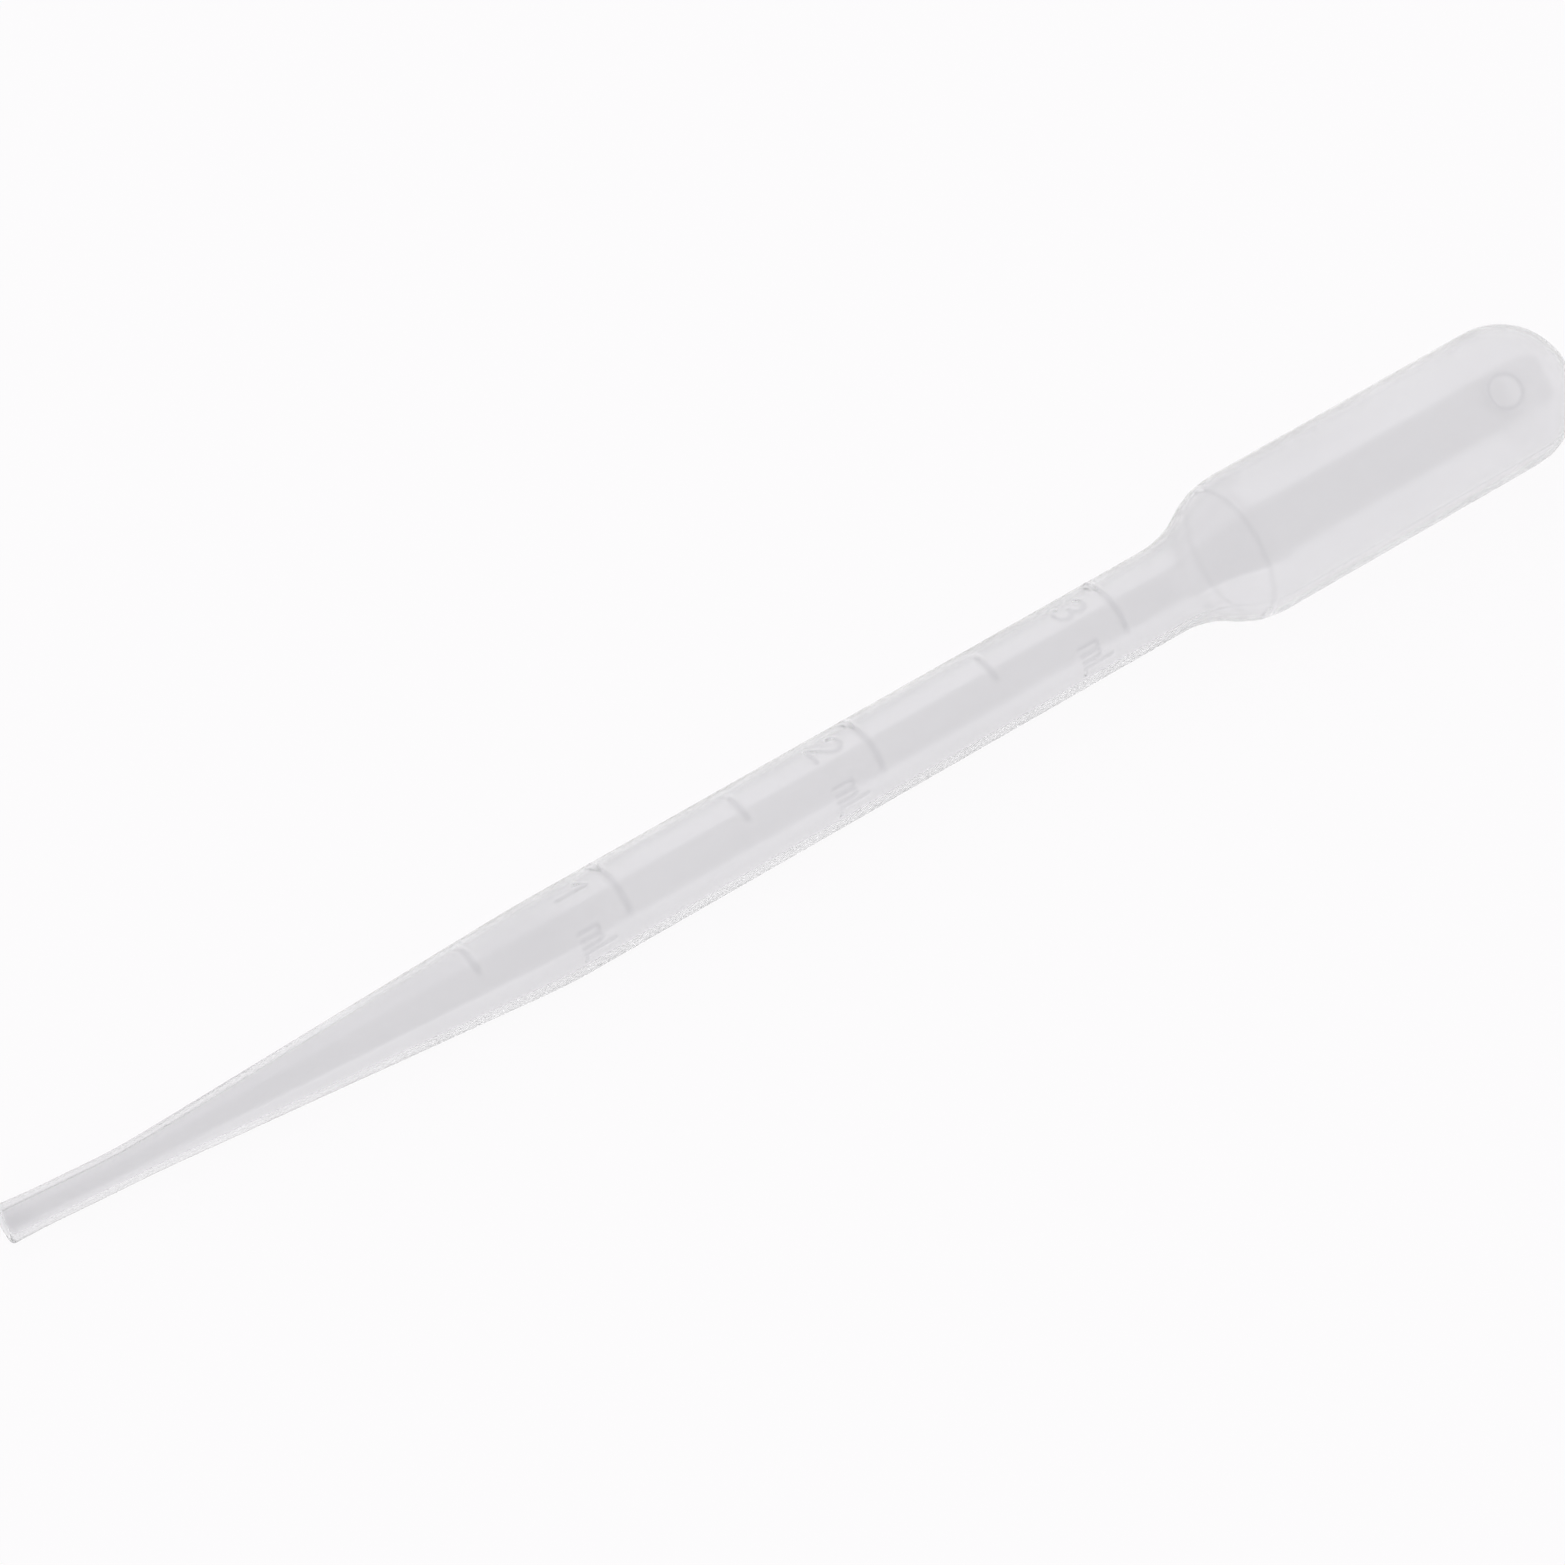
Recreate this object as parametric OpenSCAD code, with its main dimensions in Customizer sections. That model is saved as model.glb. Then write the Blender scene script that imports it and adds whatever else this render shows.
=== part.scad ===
// Graduated transfer pipette: one soft blow-moulded tube with a squeeze bulb at one end,
// a long taper and a fine nozzle at the other, and volume marks raised on the stem.
// It lies on a table, with the nozzle towards -X and the bulb towards +X.

/* [Whole pipette] */
// Length along the tube, from the mouth of the nozzle to the end of the bulb
overall_len = 160; // [150:1:200]

/* [Nozzle] */
// Length of the nozzle, from its mouth to the foot of the taper
nozzle_len = 11.5; // [8:0.5:20]
// Outer diameter of the nozzle
nozzle_d = 3.2; // [2.8:0.1:4]
// Diameter of the bore that the liquid passes through
nozzle_bore_d = 2.1; // [1.4:0.1:2.4]
// Outer diameter of the lip that the hot cut leaves round the mouth
lip_d = 3.44; // [3.3:0.02:4.4]
// Length over which the lip runs out into the nozzle
lip_len = 3; // [1:0.5:5]

/* [Taper] */
// Length of the taper between the nozzle and the stem
taper_len = 39; // [30:1:48]

/* [Stem] */
// Outer diameter of the stem
stem_d = 7.9; // [6.5:0.1:10]
// Thickness of the stem's wall
stem_wall = 0.44; // [0.3:0.02:0.8]

/* [Bulb] */
// Outer diameter of the bulb
bulb_d = 13.4; // [11:0.1:17]
// Length of the bulb, from the shoulder to the end of the dome
bulb_len = 35; // [24:1:44]
// Thickness of the bulb's wall
bulb_wall = 0.4; // [0.3:0.02:0.8]
// Radius of the hollow curve where the stem opens into the shoulder
neck_fillet = 10; // [4:0.5:14]
// Radius of the round where the shoulder runs into the bulb
shoulder_round = 9; // [4:0.5:12]
// Outer diameter of the small ring that the mould leaves near the dome
ring_d = 3.8; // [2:0.1:5]
// Width of that ring's line
ring_line = 0.5; // [0.3:0.1:0.8]
// Distance from the middle of the ring to the end of the dome
ring_from_end = 9.4; // [8:0.2:14]
// Height that the ring stands off the bulb
ring_h = 0.12; // [0.08:0.02:0.3]

/* [Volume marks] */
// Volume between two marks, in millilitres
mark_ml = 0.5; // [0.25:0.25:1]
// Height that a mark stands off the stem
mark_h = 0.18; // [0.1:0.02:0.3]
// Width of a mark along the tube
mark_w = 0.75; // [0.5:0.05:1.2]
// Angle round the tube that a whole-millilitre mark covers
whole_arc = 118; // [60:2:170]
// Angle round the tube that a mark between two whole ones covers
part_arc = 62; // [30:2:110]

/* [Set of the soft tube] */
// Bend at the foot of the stem, in degrees
stem_bend = 2.3; // [0.5:0.1:4]
// Bend at the top of the nozzle, in degrees
nozzle_bend = 2.8; // [0.5:0.1:4]
// Radius of both bends
bend_r = 60; // [30:5:80]
// Angle round the tube from the bent side to the middle of the volume marks
scale_turn = 103; // [0:1:180]
// Angle round the tube from the middle of the volume marks to the ring on the bulb
ring_turn = 27; // [0:1:90]

/* [Hidden] */
$fn = 96;

nozzle_r = nozzle_d / 2;
nozzle_bore_r = nozzle_bore_d / 2;
lip_r = lip_d / 2;
stem_r = stem_d / 2;
stem_bore_r = stem_r - stem_wall;
bulb_r = bulb_d / 2;
bulb_bore_r = bulb_r - bulb_wall;

// The shoulder is two arcs that meet at the angle where their rises add up to the step
function shoulder_slope(step, radii) = acos(1 - step / radii);
shoulder_len = (neck_fillet + shoulder_round)
  * sin(shoulder_slope(bulb_r - stem_r, neck_fillet + shoulder_round));

// Straight lengths left between the bends, which count as nozzle and as stem
function bend_len(angle) = bend_r * angle * PI / 180;
nozzle_straight = nozzle_len - bend_len(nozzle_bend);
stem_foot = nozzle_len + taper_len;
neck_from_mouth = overall_len - bulb_len - shoulder_len;
stem_straight = neck_from_mouth - stem_foot - bend_len(stem_bend);
bulb_end = stem_straight + shoulder_len + bulb_len;

// Volume marks sit where the bore below them holds their volume
mm3_per_ml = 1000;
bore_growth = (stem_bore_r - nozzle_bore_r) / taper_len;
nozzle_volume = PI * nozzle_bore_r ^ 2 * nozzle_len;
taper_volume = PI / (3 * bore_growth) * (stem_bore_r ^ 3 - nozzle_bore_r ^ 3);
stem_area = PI * stem_bore_r ^ 2;
function up_taper(volume) =
  ((3 * bore_growth * volume / PI + nozzle_bore_r ^ 3) ^ (1 / 3) - nozzle_bore_r) / bore_growth;
function mark_from_mouth(volume) = volume < nozzle_volume + taper_volume
  ? nozzle_len + up_taper(volume - nozzle_volume)
  : stem_foot + (volume - nozzle_volume - taper_volume) / stem_area;
stem_volume = nozzle_volume + taper_volume + stem_area * (neck_from_mouth - mark_w - stem_foot);
mark_count = floor(stem_volume / (mark_ml * mm3_per_ml));

// Radius of the round top of a mark, from its width and height
mark_round = (mark_h ^ 2 + (mark_w / 2) ^ 2) / (2 * mark_h);

// Where the bends carry the middle of the mouth, below the stem's foot and to the side of its axis
full_bend = stem_bend + nozzle_bend;
mouth_drop = bend_r * sin(full_bend) + taper_len * cos(stem_bend) + nozzle_straight * cos(full_bend);
mouth_aside = bend_r * (1 - cos(full_bend)) + taper_len * sin(stem_bend) + nozzle_straight * sin(full_bend);

// At rest the tube touches the table where the taper starts and at the bulb's shoulder,
// and it has rolled until the bent end dips far enough for the lip to touch too
shoulder_top = stem_straight + shoulder_len;
rest_tilt = atan((bulb_r - stem_r) / (shoulder_top + bend_len(stem_bend)));
foot_height = bulb_r * cos(rest_tilt) - shoulder_top * sin(rest_tilt);
lip_clearance = foot_height - lip_r - mouth_drop * sin(rest_tilt);
bow_dip = asin(max(-1, min(1, lip_clearance / mouth_aside)));
mouth_x = mouth_drop * cos(rest_tilt) + (mouth_aside * sin(bow_dip) + lip_r) * sin(rest_tilt);
dome_x = (bulb_end - bulb_r) * cos(rest_tilt) + bulb_r;

// A bend's wall is thicker than the tube's by this much on each side, and the straight
// lengths run this far into it, so that no two edges lie on one another
bend_swell = 0.01;
bend_lap = 0.2;
// Angle that one straight piece of an arc covers
arc_step = 3;
// Overrun of a cut past the face that it opens
overrun = 1;

// Points along an arc, from one angle to another
function arc(centre, radius, from, to) =
  let (steps = ceil(abs(to - from) / arc_step))
  [for (i = [0:steps])
    let (a = from + (to - from) * i / steps)
    centre + radius * [cos(a), sin(a)]];

function reversed(points) = [for (i = [len(points) - 1:-1:0]) points[i]];

// Outline of one surface of the stem and bulb, from the stem's foot to the top of the dome
function bulb_outline(tube_r, wide_r, fillet, rounding) =
  let (
    slope = shoulder_slope(wide_r - tube_r, fillet + rounding),
    shoulder_top = stem_straight + (fillet + rounding) * sin(slope)
  )
  concat(
    [[tube_r, -bend_lap]],
    arc([tube_r + fillet, stem_straight], fillet, 180, 180 - slope),
    arc([wide_r - rounding, shoulder_top], rounding, -slope, 0),
    arc([0, bulb_end - bulb_r], wide_r, 0, 90)
  );

// Hollow stem, shoulder and closed bulb, standing on the stem's foot
module stem_and_bulb() {
  outside = bulb_outline(stem_r, bulb_r, neck_fillet, shoulder_round);
  inside = bulb_outline(stem_bore_r, bulb_bore_r, neck_fillet + stem_wall, shoulder_round - bulb_wall);
  rotate_extrude()
    polygon(concat(outside, reversed(inside)));
}

// Wall of the taper, which hangs below the stem's foot
module taper() {
  rotate_extrude()
    polygon([
      [nozzle_bore_r, -taper_len - bend_lap],
      [nozzle_r, -taper_len - bend_lap],
      [nozzle_r, -taper_len + bend_lap],
      [stem_r, -bend_lap],
      [stem_r, bend_lap],
      [stem_bore_r, bend_lap],
      [stem_bore_r, -bend_lap],
      [nozzle_bore_r, -taper_len + bend_lap],
    ]);
}

// Wall of the nozzle, which hangs below its bend, with a lip and a round rim at the mouth
module nozzle() {
  rim_r = (lip_r - nozzle_bore_r) / 2;
  rim_centre = [nozzle_bore_r + rim_r, rim_r - nozzle_straight];
  rotate_extrude()
    polygon(concat(
      [[nozzle_bore_r, bend_lap]],
      arc(rim_centre, rim_r, 180, 360),
      [[nozzle_r, lip_len - nozzle_straight], [nozzle_r, bend_lap]]
    ));
}

// Short bent length of tube that starts level and curves down towards +X
module bend(outer_r, inner_r, angle) {
  translate([bend_r, 0, 0])
    rotate([90, 0, 0])
      rotate([0, 0, 180])
        rotate_extrude(angle = angle)
          translate([bend_r, 0])
            difference() {
              circle(outer_r + bend_swell);
              circle(inner_r - bend_swell);
            }
}

// Carries what follows a bend to the bend's far end
module past_bend(angle) {
  translate([bend_r, 0, 0])
    rotate([0, -angle, 0])
      translate([-bend_r, 0, 0])
        children();
}

// Raised line part of the way round a tube of the given radius
module mark(tube_r, wall, arc) {
  rotate([0, 0, scale_turn - arc / 2])
    rotate_extrude(angle = arc)
      intersection() {
        translate([tube_r + mark_h - mark_round, 0])
          circle(mark_round);
        translate([tube_r - wall / 2, -mark_w])
          square([wall / 2 + mark_h, 2 * mark_w]);
      }
}

function is_whole(ml) = ml == floor(ml);
function mark_arc(ml) = is_whole(ml) ? whole_arc : part_arc;

// Marks that fall on the stem, in the stem's own frame
module stem_marks() {
  for (i = [1:mark_count]) {
    ml = i * mark_ml;
    along = mark_from_mouth(ml * mm3_per_ml) - neck_from_mouth + stem_straight;
    if (along > mark_w)
      translate([0, 0, along])
        mark(stem_r, stem_wall, mark_arc(ml));
  }
}

// Marks that fall on the taper, in the taper's own frame
module taper_marks() {
  taper_growth = (stem_r - nozzle_r) / taper_len;
  for (i = [1:mark_count]) {
    ml = i * mark_ml;
    along = mark_from_mouth(ml * mm3_per_ml) - stem_foot;
    if (along < -mark_w && along > -taper_len + mark_w)
      translate([0, 0, along])
        mark(stem_r + along * taper_growth, stem_wall, mark_arc(ml));
  }
}

// Small raised ring on the side of the bulb
module mould_ring() {
  rotate([0, 0, scale_turn + ring_turn])
    translate([0, 0, bulb_end - ring_from_end])
      intersection() {
        difference() {
          cylinder(h = 2 * ring_d, r = bulb_r + ring_h, center = true);
          cylinder(h = 3 * ring_d, r = bulb_r - bulb_wall / 2, center = true);
        }
        rotate([0, 90, 0])
          difference() {
            cylinder(h = bulb_d, d = ring_d);
            translate([0, 0, -overrun])
              cylinder(h = bulb_d + 2 * overrun, d = ring_d - 2 * ring_line);
          }
      }
}

// Whole tube, upright, with the straight stem on the Z axis and its foot at the origin
module upright() {
  stem_and_bulb();
  stem_marks();
  mould_ring();
  bend(stem_r, stem_bore_r, stem_bend);
  past_bend(stem_bend) {
    taper();
    taper_marks();
    translate([0, 0, -taper_len]) {
      bend(nozzle_r, nozzle_bore_r, nozzle_bend);
      past_bend(nozzle_bend)
        nozzle();
    }
  }
}

module pipette() {
  color([0.92, 0.93, 0.95, 0.6])
    translate([(mouth_x - dome_x) / 2, 0, foot_height])
      rotate([0, 90 - rest_tilt, 0])
        rotate([0, 0, 90 - bow_dip])
          upright();
}

pipette();
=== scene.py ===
from math import acos, asin, atan, ceil, cos, pi, radians, sin

import bpy
import numpy as np
from mathutils import Matrix, Vector


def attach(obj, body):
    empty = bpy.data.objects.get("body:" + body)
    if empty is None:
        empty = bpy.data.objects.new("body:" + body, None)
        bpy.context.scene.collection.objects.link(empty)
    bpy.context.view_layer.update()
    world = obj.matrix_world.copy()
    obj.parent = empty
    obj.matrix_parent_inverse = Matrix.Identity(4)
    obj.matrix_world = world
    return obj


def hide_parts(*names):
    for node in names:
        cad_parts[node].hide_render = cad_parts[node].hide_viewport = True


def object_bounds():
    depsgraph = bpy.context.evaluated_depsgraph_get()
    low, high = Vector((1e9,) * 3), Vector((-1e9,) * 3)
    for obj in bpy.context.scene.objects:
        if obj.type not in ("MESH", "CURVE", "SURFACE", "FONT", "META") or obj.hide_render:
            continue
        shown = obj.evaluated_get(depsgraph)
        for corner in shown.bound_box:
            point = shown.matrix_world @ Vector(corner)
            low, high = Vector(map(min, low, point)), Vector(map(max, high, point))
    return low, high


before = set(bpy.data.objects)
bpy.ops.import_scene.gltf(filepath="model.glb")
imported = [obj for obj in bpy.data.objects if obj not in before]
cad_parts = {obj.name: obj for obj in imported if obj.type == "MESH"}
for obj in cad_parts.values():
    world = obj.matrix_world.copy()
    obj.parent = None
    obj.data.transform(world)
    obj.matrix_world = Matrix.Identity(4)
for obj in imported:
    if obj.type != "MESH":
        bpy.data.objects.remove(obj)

cad_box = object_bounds()

# All lengths are in millimetres until the mesh is made.
MM = 0.001

# Nozzle
NOZZLE_LEN = 11.5
NOZZLE_R = 1.6
BORE_R = 1.05
LIP_R = 1.72
LIP_LEN = 3.0

# Taper and stem
TAPER_LEN = 39.0
STEM_R = 3.95
STEM_WALL = 0.44

# Bulb
OVERALL_LEN = 160.0
BULB_R = 6.7
BULB_LEN = 35.0
BULB_WALL = 0.4
NECK_FILLET = 10.0
SHOULDER_ROUND = 9.0
RING_R = 1.9
RING_LINE = 0.5
RING_H = 0.12
RING_EDGE = 0.14
RING_INSET = 0.08
RING_FROM_END = 9.4

# Volume marks
MARK_ML = 0.5
MARK_COUNT = 6
MARK_H = 0.15
MARK_W = 0.75
WHOLE_ARC = radians(118)
PART_ARC = radians(62)
MARK_FOOT = 0.17
MARK_RUN_OUT = 0.6

# Numerals beside the whole-millilitre marks
GLYPH_H = 2.9
GLYPH_W = 1.9
GLYPH_LINE = 0.42
GLYPH_EDGE = 0.17
GLYPH_RAISE = 0.09
GLYPH_GAP = 2.0
NUMERAL_TURN = radians(-12)
UNIT_TURN = radians(60)
UNIT_M_LEFT, UNIT_M_W = -1.35, 1.5
UNIT_L_LEFT, UNIT_L_W = 0.5, 1.0

# Mould lines
PARTING_H = 0.03
PARTING_W = 0.3
PARTING_EDGE = 0.25
INSERT_H = 0.05
INSERT_W = 0.5
INSERT_EDGE = 0.2
INSERT_DOWN = 2.4

# How much milkier the plastic is where its wall is thicker, and how much darker a soft band round
# the small ring is, as a share of the darkening over a raised character, which is painted shade
EXTRA_WALL = 0.1
EXTRA_LIP = 0.3
EXTRA_RING = 0.45
EXTRA_RING_HALF = 0.4
EXTRA_RING_EDGE = 0.6

# Set of the soft tube
STEM_BEND = radians(2.3)
NOZZLE_BEND = radians(2.8)
BEND_R = 60.0
SCALE_TURN = radians(103)
RING_TURN = radians(27)


# ---- where things lie along the tube, measured from the mouth ----

def shoulder_slope(step, radii):
    return acos(1 - step / radii)


SHOULDER_LEN = (NECK_FILLET + SHOULDER_ROUND) * sin(
    shoulder_slope(BULB_R - STEM_R, NECK_FILLET + SHOULDER_ROUND))
STEM_FOOT = NOZZLE_LEN + TAPER_LEN
STEM_BEND_LEN = BEND_R * STEM_BEND
NOZZLE_BEND_LEN = BEND_R * NOZZLE_BEND
NECK = OVERALL_LEN - BULB_LEN - SHOULDER_LEN
SHOULDER_TOP = NECK + SHOULDER_LEN
DOME_START = OVERALL_LEN - BULB_R
RING_AT = OVERALL_LEN - RING_FROM_END


def mark_stations():
    """Stations at which the bore below holds each volume."""
    stem_bore = STEM_R - STEM_WALL
    growth = (stem_bore - BORE_R) / TAPER_LEN
    nozzle_volume = pi * BORE_R ** 2 * NOZZLE_LEN
    taper_volume = pi / (3 * growth) * (stem_bore ** 3 - BORE_R ** 3)
    stations = []
    for i in range(1, MARK_COUNT + 1):
        left = i * MARK_ML * 1000 - nozzle_volume
        if left < taper_volume:
            up = ((3 * growth * left / pi + BORE_R ** 3) ** (1 / 3) - BORE_R) / growth
            stations.append(NOZZLE_LEN + up)
        else:
            stations.append(STEM_FOOT + (left - taper_volume) / (pi * stem_bore ** 2))
    return stations


MARKS = mark_stations()


# ---- section of the tube ----

# How far each way from a corner its rounding reaches
LIP_EASE, NOZZLE_EASE, STEM_EASE = 1.2, 3.0, 2.2
BORE_NOZZLE_EASE, BORE_STEM_EASE = 4.0, 3.0


def eased_corner(s, corner, slope_before, slope_after, reach):
    """What a rounded corner adds to two straight lines that meet at it."""
    d = np.clip(np.abs(s - corner), 0, reach)
    return (slope_after - slope_before) * (reach - d) ** 2 / (4 * reach)


def outer_radius(s):
    """Radius of the outside at each station, without marks and rounded where the mould is."""
    s = np.asarray(s, float)
    taper_slope = (STEM_R - NOZZLE_R) / TAPER_LEN
    lip_slope = (NOZZLE_R - LIP_R) / LIP_LEN
    r = np.interp(s, [0, LIP_LEN, NOZZLE_LEN, STEM_FOOT], [LIP_R, NOZZLE_R, NOZZLE_R, STEM_R])
    r = r + eased_corner(s, LIP_LEN, lip_slope, 0, LIP_EASE)
    r = r + eased_corner(s, NOZZLE_LEN, 0, taper_slope, NOZZLE_EASE)
    r = r + eased_corner(s, STEM_FOOT, taper_slope, 0, STEM_EASE)
    return bulb_radius(s, r, STEM_R, BULB_R, NECK_FILLET, SHOULDER_ROUND, OVERALL_LEN)


def inner_radius(s):
    """Radius of the bore at each station."""
    s = np.asarray(s, float)
    stem_bore = STEM_R - STEM_WALL
    taper_slope = (stem_bore - BORE_R) / TAPER_LEN
    r = np.interp(s, [NOZZLE_LEN, STEM_FOOT], [BORE_R, stem_bore])
    r = r + eased_corner(s, NOZZLE_LEN, 0, taper_slope, BORE_NOZZLE_EASE)
    r = r + eased_corner(s, STEM_FOOT, taper_slope, 0, BORE_STEM_EASE)
    return bulb_radius(s, r, stem_bore, BULB_R - BULB_WALL, NECK_FILLET + STEM_WALL,
                       SHOULDER_ROUND - BULB_WALL, OVERALL_LEN - BULB_WALL)


def bulb_radius(s, r, tube_r, wide_r, fillet, rounding, end):
    """Puts the shoulder, the bulb and the dome into a list of radii."""
    slope = shoulder_slope(wide_r - tube_r, fillet + rounding)
    turn = NECK + fillet * sin(slope)
    top = NECK + (fillet + rounding) * sin(slope)
    dome = end - wide_r
    in_fillet = tube_r + fillet - np.sqrt(np.maximum(fillet ** 2 - (s - NECK) ** 2, 0))
    in_round = wide_r - rounding + np.sqrt(np.maximum(rounding ** 2 - (top - s) ** 2, 0))
    in_dome = np.sqrt(np.maximum(wide_r ** 2 - (s - dome) ** 2, 0))
    r = np.where(s > NECK, in_fillet, r)
    r = np.where(s > turn, in_round, r)
    r = np.where(s > top, wide_r, r)
    return np.where(s > dome, in_dome, r)


# ---- relief that the mould leaves on the outside ----

def smooth_edge(distance, half_width, edge):
    """1 inside a line of the given half width, 0 outside it, with a rounded edge."""
    t = np.clip((half_width + edge - distance) / (2 * edge), 0, 1)
    return t * t * (3 - 2 * t)


def rib(offset, half_width, height):
    """Rib with a round top and soft feet, across its own width."""
    return height * np.cos(np.clip(offset / half_width, -1, 1) * pi / 2) ** 2


def arc_points(cx, cy, rx, ry, start, end, count=14):
    turns = np.radians(np.linspace(start, end, count))
    return [(cx + rx * cos(t), cy + ry * sin(t)) for t in turns]


# Strokes of each character, in a box 1 wide and 1 high, with the origin at its lower left corner
STROKES = {
    "1": [[(0.18, 0.78), (0.55, 1.0), (0.55, 0.0)]],
    "2": [arc_points(0.5, 0.72, 0.42, 0.28, 170, -38) + [(0.08, 0.0), (0.95, 0.0)]],
    "3": [arc_points(0.48, 0.75, 0.38, 0.25, 150, -90),
          arc_points(0.48, 0.26, 0.44, 0.26, 90, -155)],
    "m": [[(0.02, 0.0), (0.02, 0.6)], arc_points(0.26, 0.42, 0.24, 0.2, 180, 0) + [(0.5, 0.0)],
          arc_points(0.74, 0.42, 0.24, 0.2, 180, 0) + [(0.98, 0.0)]],
    "L": [[(0.1, 1.0), (0.1, 0.0), (0.85, 0.0)]],
}


def stroke_distance(x, y, strokes):
    """Distance of each point from the nearest stroke."""
    best = np.full(np.shape(x), 1e3)
    for stroke in strokes:
        for (ax, ay), (bx, by) in zip(stroke, stroke[1:]):
            dx, dy = bx - ax, by - ay
            along = np.clip(((x - ax) * dx + (y - ay) * dy) / (dx * dx + dy * dy), 0, 1)
            best = np.minimum(best, np.hypot(x - ax - along * dx, y - ay - along * dy))
    return best


def character(x, y, name, left, width, height):
    """Relief of one character whose lower left corner is at (left, 0)."""
    strokes = [[(left + px * width, py * height) for px, py in stroke] for stroke in STROKES[name]]
    return GLYPH_RAISE * smooth_edge(stroke_distance(x, y, strokes), GLYPH_LINE / 2, GLYPH_EDGE)


def numerals(s, around):
    """Relief of the numeral and the unit beside each whole-millilitre mark.

    around is the distance round the tube from the middle of the scale."""
    raised = np.zeros(np.broadcast(s, around).shape)
    for i, station in enumerate(MARKS):
        if (i + 1) % 2:
            continue
        y = s - (station - GLYPH_GAP - GLYPH_H)
        rows = np.where((y[:, 0] > -1) & (y[:, 0] < GLYPH_H + 1))[0]
        if not len(rows):
            continue
        y = y[rows]
        x = around[rows] - NUMERAL_TURN * STEM_R
        digit = character(x, y, str((i + 1) // 2), -GLYPH_W / 2, GLYPH_W, GLYPH_H)
        x = around[rows] - UNIT_TURN * STEM_R
        unit = np.maximum(character(x, y, "m", UNIT_M_LEFT, UNIT_M_W, GLYPH_H),
                          character(x, y, "L", UNIT_L_LEFT, UNIT_L_W, GLYPH_H))
        raised[rows] = np.maximum(raised[rows], np.maximum(digit, unit))
    return raised


def marks(s, around, radius):
    """Relief of the volume marks."""
    raised = np.zeros(np.broadcast(s, around).shape)
    for i, station in enumerate(MARKS):
        half_arc = (WHOLE_ARC if (i + 1) % 2 == 0 else PART_ARC) / 2
        ends = smooth_edge(np.abs(around), half_arc * radius - MARK_RUN_OUT, MARK_RUN_OUT)
        raised = np.maximum(raised, rib(s - station, MARK_W / 2 + MARK_FOOT, MARK_H) * ends)
    return raised


def mould_ring(s, around):
    """Relief of the small ring near the dome."""
    away = np.hypot(s - RING_AT, around - RING_TURN * BULB_R)
    from_line = np.abs(away - RING_R + RING_LINE / 2)
    return RING_H * smooth_edge(from_line, RING_LINE / 2 - RING_INSET, RING_EDGE)


def ring_band_tint(s, around):
    """Darker tint in a soft band round the small ring."""
    away = np.hypot(s - RING_AT, around - RING_TURN * BULB_R)
    return EXTRA_RING * smooth_edge(np.abs(away - RING_R), EXTRA_RING_HALF, EXTRA_RING_EDGE)


def parting_lines(s, turn):
    """Two fine ridges where the halves of the mould meet."""
    radius = np.minimum(outer_radius(s), BULB_R)
    away = np.abs(np.abs(turn) - pi / 2) * radius
    fade = np.clip((SHOULDER_TOP - s) / SHOULDER_LEN, 0, 1) * np.clip((s - LIP_LEN) / 3, 0, 1)
    return PARTING_H * smooth_edge(away, PARTING_W / 2, PARTING_EDGE) * fade


def insert_line(s):
    """Fine step round the top of the shoulder, where two blocks of the mould meet."""
    return INSERT_H * smooth_edge(np.abs(s - SHOULDER_TOP + INSERT_DOWN), INSERT_W / 2, INSERT_EDGE)


# Waves of a blown wall: height, then pace and start along the tube, then count and start round it
WAVES = [(0.010, 0.23, 0.6, 2, 0.4), (0.007, 0.41, 2.1, 3, 1.7), (0.004, 0.83, 4.0, 1, -0.9)]


def soft_waves(s, turn):
    """Slight unevenness of a blown wall."""
    return sum(height * np.sin(pace * s + start) * np.cos(count * turn + start_round)
               for height, pace, start, count, start_round in WAVES)


def extra_wall(s):
    """Extra milkiness of the taper, the nozzle and the lip."""
    s = np.asarray(s, float)
    down_taper = np.clip((STEM_FOOT - s) / TAPER_LEN, 0, 1)
    at_lip = np.clip(1 - s / LIP_LEN, 0, 1)
    return EXTRA_WALL * down_taper + EXTRA_LIP * at_lip


# ---- route of the tube ----

def route(s):
    """Middle of the tube and the lean of its section at each station, with the stem upright."""
    below = STEM_FOOT + STEM_BEND_LEN - np.asarray(s, float)
    full = STEM_BEND + NOZZLE_BEND
    in_bend = np.clip(below, 0, STEM_BEND_LEN) / BEND_R
    in_taper = np.clip(below - STEM_BEND_LEN, 0, TAPER_LEN)
    past = below - STEM_BEND_LEN - TAPER_LEN
    in_tip_bend = np.clip(past, 0, NOZZLE_BEND_LEN) / BEND_R
    in_nozzle = np.maximum(past - NOZZLE_BEND_LEN, 0)
    lean = in_bend + in_tip_bend
    aside = (BEND_R * (1 - np.cos(in_bend)) + in_taper * sin(STEM_BEND)
             + BEND_R * (cos(STEM_BEND) - np.cos(STEM_BEND + in_tip_bend)) + in_nozzle * sin(full))
    up = -(BEND_R * np.sin(in_bend) + in_taper * cos(STEM_BEND)
           + BEND_R * (np.sin(STEM_BEND + in_tip_bend) - sin(STEM_BEND)) + in_nozzle * cos(full))
    up = np.where(below < 0, -below, up)
    return aside, up, lean


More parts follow.
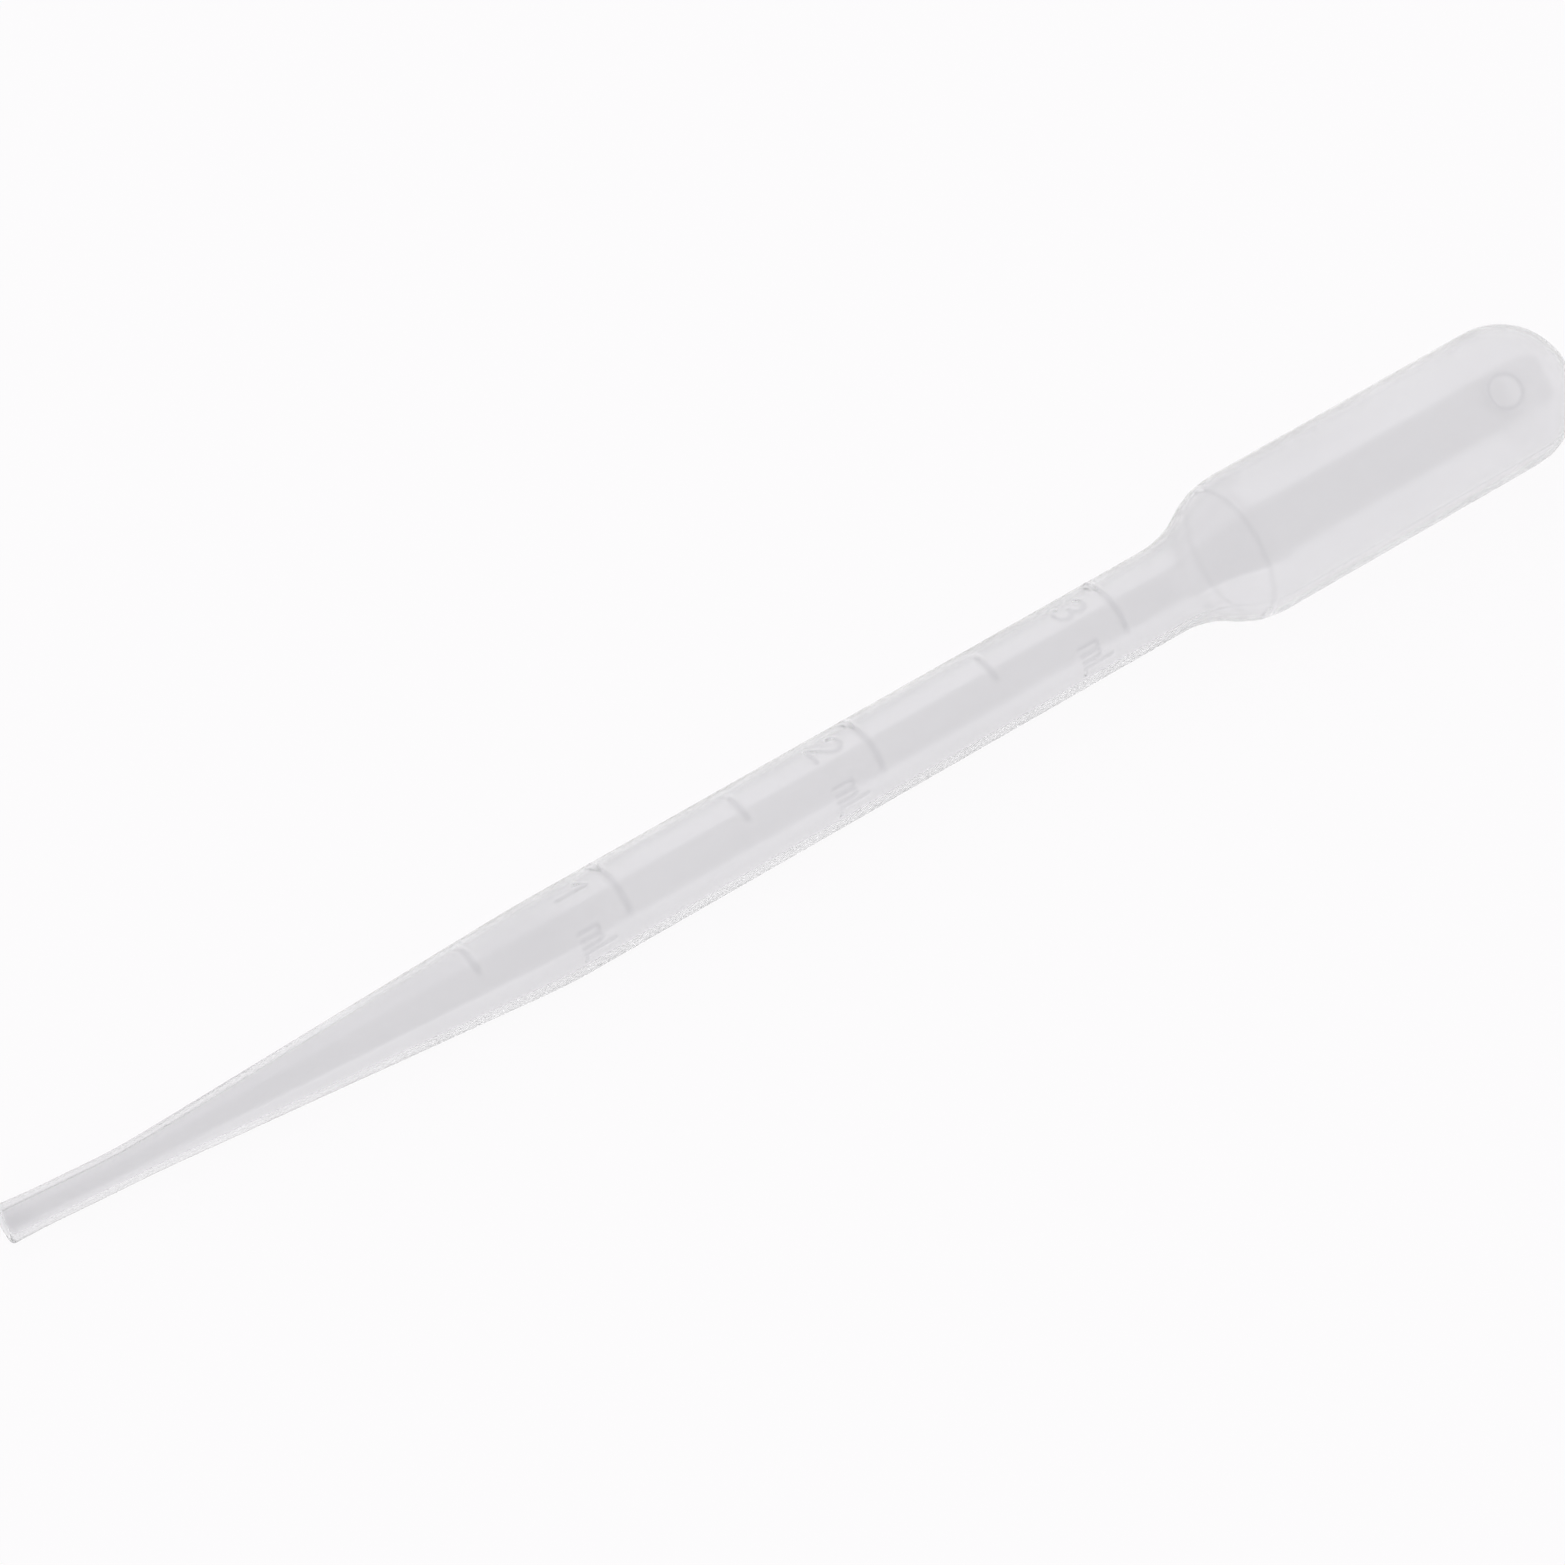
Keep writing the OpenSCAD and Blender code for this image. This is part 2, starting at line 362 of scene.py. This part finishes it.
def lying():
    """Turns the upright tube so that it lies on the table, touching with shoulder, stem and lip."""
    foot = STEM_FOOT + STEM_BEND_LEN
    shoulder_above = SHOULDER_TOP - foot
    tilt = atan((BULB_R - STEM_R) / (shoulder_above + STEM_BEND_LEN))
    foot_height = BULB_R * cos(tilt) - shoulder_above * sin(tilt)
    aside, up, _ = route(0.0)
    drop = -float(up)
    dip = asin((foot_height - LIP_R - drop * sin(tilt)) / float(aside))
    mouth_x = drop * cos(tilt) + (float(aside) * sin(dip) + LIP_R) * sin(tilt)
    dome_x = (OVERALL_LEN - foot - BULB_R) * cos(tilt) + BULB_R
    place = Matrix.Translation(((mouth_x - dome_x) / 2, 0, foot_height))
    place = place @ Matrix.Rotation(pi / 2 - tilt, 4, "Y")
    return place @ Matrix.Rotation(pi / 2 - dip, 4, "Z")


# ---- mesh of the tube ----

# Spacing of the rows over relief, and the least spacing of any two
MARK_ROWS, GLYPH_ROWS, RING_ROWS = 0.07, 0.085, 0.12
CLOSEST_ROWS = 0.03

# Turns between which the scale lies, and the spacing of the columns there and elsewhere
SCALE_FROM, SCALE_TO = radians(-64), radians(90)
SCALE_COLUMNS, PLAIN_COLUMNS = radians(1.15), radians(7.5)

RIM_END = 0.6
SETTLE_LEN = 8
SETTLE_FROM = 2


def spread(start, end, step):
    count = max(1, ceil((end - start) / step))
    return [start + (end - start) * i / count for i in range(count + 1)]


def fine_stretches():
    """Stretches of the outside that carry relief, each with its spacing of rows."""
    beside = [(m, 0.55, MARK_ROWS) for m in MARKS]
    beside += [(m - GLYPH_GAP - GLYPH_H / 2, GLYPH_H / 2 + 0.4, GLYPH_ROWS)
               for m in MARKS[1::2]]
    beside.append((RING_AT, RING_R + 0.3, RING_ROWS))
    beside.append((SHOULDER_TOP - INSERT_DOWN, 0.6, RING_ROWS))
    return sorted((middle - half, middle + half, step) for middle, half, step in beside)


def joined(stretches):
    """Rows along stretches that follow each other, each given as (start, end, step)."""
    stations = []
    for start, end, step in stretches:
        stations += spread(start, end, step)[1 if stations else 0:]
    return stations


def outside_stations():
    """Rows of the outside from the lip to the top of the dome."""
    stations = joined([(RIM_END, LIP_LEN + 2, 0.4), (LIP_LEN + 2, NOZZLE_LEN - 3, 1.2),
                       (NOZZLE_LEN - 3, NOZZLE_LEN + 4, 0.6), (NOZZLE_LEN + 4, STEM_FOOT - 3, 1.3),
                       (STEM_FOOT - 3, STEM_FOOT + 3, 0.5), (STEM_FOOT + 3, NECK, 1.3),
                       (NECK, SHOULDER_TOP + 0.5, 0.35), (SHOULDER_TOP + 0.5, DOME_START, 1.2)])
    for start, end, step in fine_stretches():
        stations = [s for s in stations if not start - step / 2 < s < end + step / 2]
        stations += spread(start, end, step)
    stations = sorted(set(round(s, 4) for s in stations))
    kept = stations[:1]
    for s in stations[1:]:
        if s - kept[-1] > CLOSEST_ROWS:
            kept.append(s)
    dome = [DOME_START + BULB_R * sin(a) for a in np.linspace(0, pi / 2, 26)[1:-1]]
    return np.array(kept + dome)


def inside_stations():
    """Rows of the bore from the mouth to the top of the dome."""
    wide = BULB_R - BULB_WALL
    dome_start = OVERALL_LEN - BULB_WALL - wide
    stations = joined([(RIM_END, NOZZLE_LEN - 3, 1.5), (NOZZLE_LEN - 3, NOZZLE_LEN + 4, 1.0),
                       (NOZZLE_LEN + 4, STEM_FOOT - 3, 2.0), (STEM_FOOT - 3, STEM_FOOT + 3, 0.8),
                       (STEM_FOOT + 3, NECK, 2.5), (NECK, SHOULDER_TOP + 0.5, 0.7),
                       (SHOULDER_TOP + 0.5, dome_start, 2.0)])
    dome = [dome_start + wide * sin(a) for a in np.linspace(0, pi / 2, 16)[1:-1]]
    return np.array(stations + dome)


def column_turns():
    """Angles of the columns round the tube, close together over the scale."""
    fine = spread(SCALE_FROM, SCALE_TO, SCALE_COLUMNS)
    rest = spread(SCALE_TO, SCALE_FROM + 2 * pi, PLAIN_COLUMNS)[1:-1]
    return np.array(fine + rest)


def rim_section():
    """Round rim from the lip over the mouth and into the bore, as (station, radius)."""
    rim_r = (LIP_R - BORE_R) / 2
    middle = BORE_R + rim_r
    return [(rim_r - rim_r * sin(a), middle + rim_r * cos(a)) for a in np.linspace(0, pi, 13)]


def ring_of_points(station, radius, turns, place):
    aside, up, lean = route(station)
    centre = np.array([float(aside), 0.0, float(up)])
    out = np.array([cos(float(lean)), 0.0, sin(float(lean))])
    back = np.array([0.0, 1.0, 0.0])
    around = SCALE_TURN + turns
    points = centre + np.multiply.outer(radius * np.cos(around), out)
    points += np.multiply.outer(radius * np.sin(around), back)
    return points @ place[:3, :3].T + place[:3, 3]


def outside_relief(s, turns):
    """All that stands on the outside, with its stations in rows and its turns in columns."""
    radius = outer_radius(s)
    around = turns * np.minimum(radius, STEM_R)
    relief = np.maximum(marks(s, around, STEM_R), numerals(s, around))
    relief = np.maximum(relief, mould_ring(s, turns * radius))
    relief = np.maximum(relief, parting_lines(s, turns))
    return np.maximum(relief, insert_line(s))


def tube_faces(rows, columns):
    """Quads from row to row, and a fan at the top of the outside and of the bore."""
    faces = []
    for row in range(rows - 1):
        first, second = row * columns, (row + 1) * columns
        for column in range(columns):
            after = (column + 1) % columns
            faces.append((first + column, second + column, second + after, first + after))
    outer_top, inner_top = rows * columns, rows * columns + 1
    last = (rows - 1) * columns
    for column in range(columns):
        after = (column + 1) % columns
        faces.append((column, after, outer_top))
        faces.append((last + after, last + column, inner_top))
    return faces


def tube_mesh():
    """One closed skin: outside with its relief, rim, bore and both domes."""
    place = np.array(lying())
    turns = column_turns()
    wrapped = ((turns + pi) % (2 * pi) - pi)[None, :]
    outside = outside_stations()
    s = outside[:, None]
    relief = outside_relief(s, wrapped)
    settle = (np.clip((OVERALL_LEN - s) / SETTLE_LEN, 0, 1)
              * np.clip((s - SETTLE_FROM) / SETTLE_LEN, 0, 1))
    radii = outer_radius(s) + relief + soft_waves(s, wrapped) * settle
    inside = inside_stations()
    rows = [ring_of_points(st, rad, turns, place) for st, rad in zip(outside[::-1], radii[::-1])]
    plain = rim_section() + list(zip(inside, inner_radius(inside)))
    rows += [ring_of_points(st, np.full(len(turns), rad), turns, place) for st, rad in plain]
    tops = [ring_of_points(top, np.zeros(1), np.zeros(1), place)[0]
            for top in (OVERALL_LEN, OVERALL_LEN - BULB_WALL)]
    points = np.concatenate(rows + [np.array(tops)]) * MM
    mesh = bpy.data.meshes.new("pipette_skin")
    mesh.from_pydata([tuple(p) for p in points], [], tube_faces(len(rows), len(turns)))

    # Milkiness of thicker wall, a darker band round the ring, and painted shade over raised
    # characters: the outside's rows come first, then the rim, and last the bore with the two tops.
    outside_milk_and_shade = (extra_wall(s) + ring_band_tint(s, wrapped * outer_radius(s))
                  + np.clip(relief / GLYPH_RAISE, 0, 1))
    in_bore = np.concatenate([np.repeat(extra_wall(inside), len(turns)), [0, 0]])
    shares = np.full(len(points), extra_wall(0.0))
    shares[:relief.size] = outside_milk_and_shade[::-1].ravel()
    shares[-in_bore.size:] = in_bore
    mesh.attributes.new("thickness_and_painted_shade", "FLOAT", "POINT").data.foreach_set("value", shares)
    mesh.validate()
    mesh.shade_smooth()
    return mesh


# ---- material ----

# Noise scales are in waves per metre, and the streaks are long along the tube.
STREAK_SCALE, CLOUD_SCALE, GRAIN_SCALE = 260.0, 90.0, 3200.0
STREAK_STRETCH = (0.15, 1, 1)
CLOUD_CONTRAST = (0.2, 0.8)
GRAIN_SHARE, GRAIN_DEPTH = 0.05, 0.05 * MM
# THICK_TINT_AND_SHADE darkens thicker wall, and is painted shade over raised marks and characters
DARK_TINT = (0.924, 0.921, 0.933)
PALE_TINT = (0.945, 0.942, 0.952)
THICK_TINT_AND_SHADE = (0.86, 0.86, 0.87)
SATIN = (0.10, 0.15)

# Where the skin turns away from the eye its colour is painted paler, painted light that lifts the
# dark rim, and it is more satin; both less so on the bulb.
INTO_RIM = (0.3, 0.6)
INTO_BULB = (34 * MM, 44 * MM)
BULB_RIM_SHARE = 0.3
RIM_PAINTED_LIGHT = (0.985, 0.985, 0.99)
RIM_SATIN = 0.2

# Light that has turned back inside the wall more often than this would be cut off and leave black
# specks, so there the plastic glows a faint grey: painted light in place of the light cut off.
MOST_TURNS = 3.5
INNER_LIGHT = (0.22, 0.22, 0.225)


def noise(nodes, links, coords, scale, detail, stretch=(1, 1, 1)):
    mapping = nodes.new("ShaderNodeMapping")
    mapping.inputs["Scale"].default_value = stretch
    links.new(coords, mapping.inputs["Vector"])
    texture = nodes.new("ShaderNodeTexNoise")
    texture.inputs["Scale"].default_value = scale
    texture.inputs["Detail"].default_value = detail
    links.new(mapping.outputs["Vector"], texture.inputs["Vector"])
    return texture.outputs["Fac"]


def put(links, socket, value):
    """Links a socket to another one, or gives it a plain value."""
    if isinstance(value, bpy.types.NodeSocket):
        links.new(value, socket)
    else:
        socket.default_value = value


def smooth_range(nodes, links, value, start, end, low=0.0, high=1.0):
    """Smooth step of a value, from low at start to high at end."""
    node = nodes.new("ShaderNodeMapRange")
    node.interpolation_type = "SMOOTHSTEP"
    for name, setting in (("Value", value), ("From Min", start), ("From Max", end),
                          ("To Min", low), ("To Max", high)):
        put(links, node.inputs[name], setting)
    return node.outputs["Result"]


def mix_values(nodes, links, factor, first, second):
    node = nodes.new("ShaderNodeMix")
    for name, setting in (("Factor", factor), ("A", first), ("B", second)):
        put(links, node.inputs[name], setting)
    return node.outputs["Result"]


def mix_colours(nodes, links, factor, first, second, blend="MIX"):
    node = nodes.new("ShaderNodeMix")
    node.data_type = "RGBA"
    node.blend_type = blend
    for name, setting in (("Factor", factor), ("A", first), ("B", second)):
        put(links, node.inputs[name], setting)
    return node.outputs["Result"]


def milky_polyethylene():
    """Soft, milky plastic: cloudy streaks along the tube, a satin skin and a fine grain."""
    material = bpy.data.materials.new("milky_polyethylene")
    material.use_nodes = True
    nodes, links = material.node_tree.nodes, material.node_tree.links
    skin = nodes["Principled BSDF"]
    coords = nodes.new("ShaderNodeTexCoord").outputs["Object"]
    streaks = noise(nodes, links, coords, STREAK_SCALE, 3.0, STREAK_STRETCH)
    clouds = noise(nodes, links, coords, CLOUD_SCALE, 2.0)
    grain = noise(nodes, links, coords, GRAIN_SCALE, 2.0)
    thicker = nodes.new("ShaderNodeAttribute")
    thicker.attribute_name = "thickness_and_painted_shade"
    edge_on = nodes.new("ShaderNodeLayerWeight")
    edge_on.inputs["Blend"].default_value = 0.5
    place = nodes.new("ShaderNodeSeparateXYZ")
    links.new(coords, place.inputs["Vector"])
    rim_share = smooth_range(nodes, links, place.outputs["X"], *INTO_BULB, 1.0, BULB_RIM_SHARE)
    rim = smooth_range(nodes, links, edge_on.outputs["Facing"], *INTO_RIM, 0.0, rim_share)

    streaky = smooth_range(nodes, links, streaks, *CLOUD_CONTRAST)
    tint = mix_colours(nodes, links, streaky, (*DARK_TINT, 1), (*PALE_TINT, 1))
    # Darker where the wall is thicker and round the ring, and painted shade over the raised marks
    # and characters
    tint = mix_colours(nodes, links, thicker.outputs["Fac"], tint, (*THICK_TINT_AND_SHADE, 1), "MULTIPLY")
    # Painted light: the colour turns paler towards the rim to lift the rim's shade
    tint = mix_colours(nodes, links, rim, tint, (*RIM_PAINTED_LIGHT, 1))
    links.new(tint, skin.inputs["Base Color"])
    satin = smooth_range(nodes, links, clouds, *CLOUD_CONTRAST, *SATIN)
    links.new(mix_values(nodes, links, rim, satin, RIM_SATIN), skin.inputs["Roughness"])
    bump = nodes.new("ShaderNodeBump")
    bump.inputs["Strength"].default_value = GRAIN_SHARE
    bump.inputs["Distance"].default_value = GRAIN_DEPTH
    links.new(grain, bump.inputs["Height"])
    links.new(bump.outputs["Normal"], skin.inputs["Normal"])
    # Painted light: a faint grey glow on light that has turned back inside the wall too often
    turned_back = nodes.new("ShaderNodeMath")
    turned_back.operation = "GREATER_THAN"
    turned_back.inputs[1].default_value = MOST_TURNS
    links.new(nodes.new("ShaderNodeLightPath").outputs["Glossy Depth"], turned_back.inputs[0])
    links.new(mix_colours(nodes, links, turned_back.outputs[0], (0, 0, 0, 1), (*INNER_LIGHT, 1)),
              skin.inputs["Emission Color"])
    skin.inputs["Emission Strength"].default_value = 1.0
    material.cycles.emission_sampling = "NONE"
    skin.inputs["IOR"].default_value = 1.51
    skin.inputs["Transmission Weight"].default_value = 0.96
    return material


def shown_to_eye(nodes, links):
    """1 for what is seen directly, in a reflection or through clear plastic, and 0 for light."""
    path = nodes.new("ShaderNodeLightPath")
    total = path.outputs["Is Camera Ray"]
    for way in ("Is Glossy Ray", "Is Transmission Ray"):
        either = nodes.new("ShaderNodeMath")
        either.operation = "MAXIMUM"
        links.new(total, either.inputs[0])
        links.new(path.outputs[way], either.inputs[1])
        total = either.outputs[0]
    return total


def studio_surface(name, share):
    """Sheet whose colour is its "tone" attribute, and shows by that share as an even tone."""
    material = bpy.data.materials.new(name)
    material.use_nodes = True
    nodes, links = material.node_tree.nodes, material.node_tree.links
    tone = nodes.new("ShaderNodeAttribute")
    tone.attribute_name = "tone"
    surface = nodes["Principled BSDF"]
    surface.inputs["Roughness"].default_value = 0.9
    surface.inputs["Specular IOR Level"].default_value = 0.0
    links.new(tone.outputs["Color"], surface.inputs["Base Color"])
    glow = nodes.new("ShaderNodeEmission")
    links.new(tone.outputs["Color"], glow.inputs["Color"])
    amount = nodes.new("ShaderNodeMath")
    amount.operation = "MULTIPLY"
    amount.inputs[1].default_value = share
    links.new(shown_to_eye(nodes, links), amount.inputs[0])
    mix = nodes.new("ShaderNodeMixShader")
    links.new(amount.outputs[0], mix.inputs["Fac"])
    links.new(surface.outputs["BSDF"], mix.inputs[1])
    links.new(glow.outputs["Emission"], mix.inputs[2])
    links.new(mix.outputs["Shader"], nodes["Material Output"].inputs["Surface"])
    return material


# ---- studio ----

PALE = (0.974, 0.966, 0.974)
TABLE_SHARE = 0.98
TABLE_HALF = 3.0
TABLE_GAP = 0.02 * MM

# Graduated screen that arches over the table, straight up at turn 0 and down in front at turn 90.
# Its length in metres and its turns in degrees.
SCREEN_R = 0.8
SCREEN_TURNS = (-88, 88)
SCREEN_ENDS = (-0.7, 1.3)
SCREEN_CELLS = (50, 88)
LOW_BACK_TO_BACK = (-66, -46)
BACK_TO_TOP = (-12, -8)
NOZZLE_TO_STEM = (0.08, 0.26)
STEM_TO_BULB = (0.36, 0.44)

# Pairs of tones over the nozzle and over the stem
BACK_TONES = (0.3, 1.0)
TOP_TONES = (0.1, 0.26)
LOW_FRONT_TONES = (1.8, 0.98)

# Pairs of values over the stem and over the bulb
LOW_BACK_TONES = (0.7, 1.0)
TOP_ENDS = (84, 76)
TOP_END_BLURS = (4, 11)

CAMERA_AT = (-195.448, -264.615, 375.074)
CAMERA_TURN, CAMERA_DIP = radians(-35.718), radians(48.391)
CAMERA_LENS = 135.05


def stage_sheet(name, points, faces, tones, material):
    mesh = bpy.data.meshes.new(name)
    mesh.from_pydata(points, [], faces)
    mesh.attributes.new("tone", "FLOAT_COLOR", "POINT").data.foreach_set(
        "color", [value for tone in tones for value in (*tone, 1)])
    mesh.materials.append(material)
    sheet = bpy.data.objects.new(name, mesh)
    bpy.context.collection.objects.link(sheet)
    return sheet


def table():
    z = cad_box[0][2] - TABLE_GAP
    corners = [(TABLE_HALF * x, TABLE_HALF * y, z) for x, y in ((-1, -1), (1, -1), (1, 1), (-1, 1))]
    stage_sheet("table", corners, [(0, 1, 2, 3)], [PALE] * 4,
                studio_surface("pale_table", TABLE_SHARE))


def smooth_step(value, start, end):
    t = min(max((value - start) / (end - start), 0), 1)
    return t * t * (3 - 2 * t)


def between(pair, share):
    return pair[0] + (pair[1] - pair[0]) * share


def screen_tone(turn, x):
    """Light behind, dark overhead and light again low in front, calmer towards the bulb's end."""
    past_nozzle = smooth_step(x, *NOZZLE_TO_STEM)
    past_stem = smooth_step(x, *STEM_TO_BULB)
    low_back = between(LOW_BACK_TONES, past_stem)
    back = between(BACK_TONES, past_nozzle)
    top = between(TOP_TONES, past_nozzle)
    low_front = between(LOW_FRONT_TONES, past_nozzle)
    top_end = between(TOP_ENDS, past_stem)
    blur = between(TOP_END_BLURS, past_stem)
    back = between((low_back, back), smooth_step(turn, *LOW_BACK_TO_BACK))
    front = between((top, low_front), smooth_step(turn, top_end - blur, top_end + blur))
    return between((back, front), smooth_step(turn, *BACK_TO_TOP))


def graduated_screen():
    """Curved screen that puts calm bands in the plastic's gloss, and lets the room's light past."""
    along, across = SCREEN_CELLS
    points, tones = [], []
    for i in range(across + 1):
        turn = between(SCREEN_TURNS, i / across)
        for j in range(along + 1):
            x = between(SCREEN_ENDS, j / along)
            points.append((x, -SCREEN_R * sin(radians(turn)), SCREEN_R * cos(radians(turn))))
            tones.append([screen_tone(turn, x)] * 3)
    row = along + 1
    faces = [(i * row + j, i * row + j + 1, (i + 1) * row + j + 1, (i + 1) * row + j)
             for i in range(across) for j in range(along)]
    screen = stage_sheet("screen", points, faces, tones, studio_surface("screen_paper", 1.0))
    screen.visible_camera = False
    screen.visible_diffuse = False
    screen.visible_shadow = False


def soft_box(name, way, distance, width, height, strength):
    """Square lamp that faces the pipette from the given direction."""
    lamp = bpy.data.lights.new(name, "AREA")
    lamp.shape = "RECTANGLE"
    lamp.size = width
    lamp.size_y = height
    lamp.energy = strength
    box = bpy.data.objects.new(name, lamp)
    way = Vector(way).normalized()
    box.location = way * distance
    box.rotation_euler = (-way).to_track_quat("-Z", "Y").to_euler()
    box.visible_camera = False
    box.visible_glossy = False
    box.visible_transmission = False
    bpy.context.collection.objects.link(box)


def room_light():
    """Even, pale room all round."""
    world = bpy.data.worlds.new("room")
    world.use_nodes = True
    background = world.node_tree.nodes["Background"]
    background.inputs["Color"].default_value = (*PALE, 1)
    background.inputs["Strength"].default_value = 1.0
    bpy.context.scene.world = world


def camera():
    """Looks down on the lying pipette from the nozzle's side."""
    lens = bpy.data.cameras.new("camera")
    lens.sensor_width = 36.0
    lens.lens = CAMERA_LENS
    lens.clip_start = 0.01
    eye = bpy.data.objects.new("camera", lens)
    eye.location = Vector(CAMERA_AT) * MM
    right = Vector((cos(CAMERA_TURN), sin(CAMERA_TURN), 0))
    ahead = Vector((-sin(CAMERA_TURN) * cos(CAMERA_DIP), cos(CAMERA_TURN) * cos(CAMERA_DIP),
                    -sin(CAMERA_DIP)))
    above = right.cross(ahead)
    eye.rotation_euler = Matrix((right, above, -ahead)).transposed().to_euler()
    bpy.context.collection.objects.link(eye)
    bpy.context.scene.camera = eye


# ---- the whole scene ----

camera()
skin = bpy.data.objects.new("pipette_skin", tube_mesh())
skin.data.materials.append(milky_polyethylene())
bpy.context.collection.objects.link(skin)
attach(skin, "root")
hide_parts("pipette")
table()
graduated_screen()
soft_box("overhead_box", way=(0.1, 0.4, 0.9), distance=1.0, width=1.2, height=1.2, strength=1.5)
room_light()
view = bpy.context.scene.view_settings
view.view_transform = "Standard"
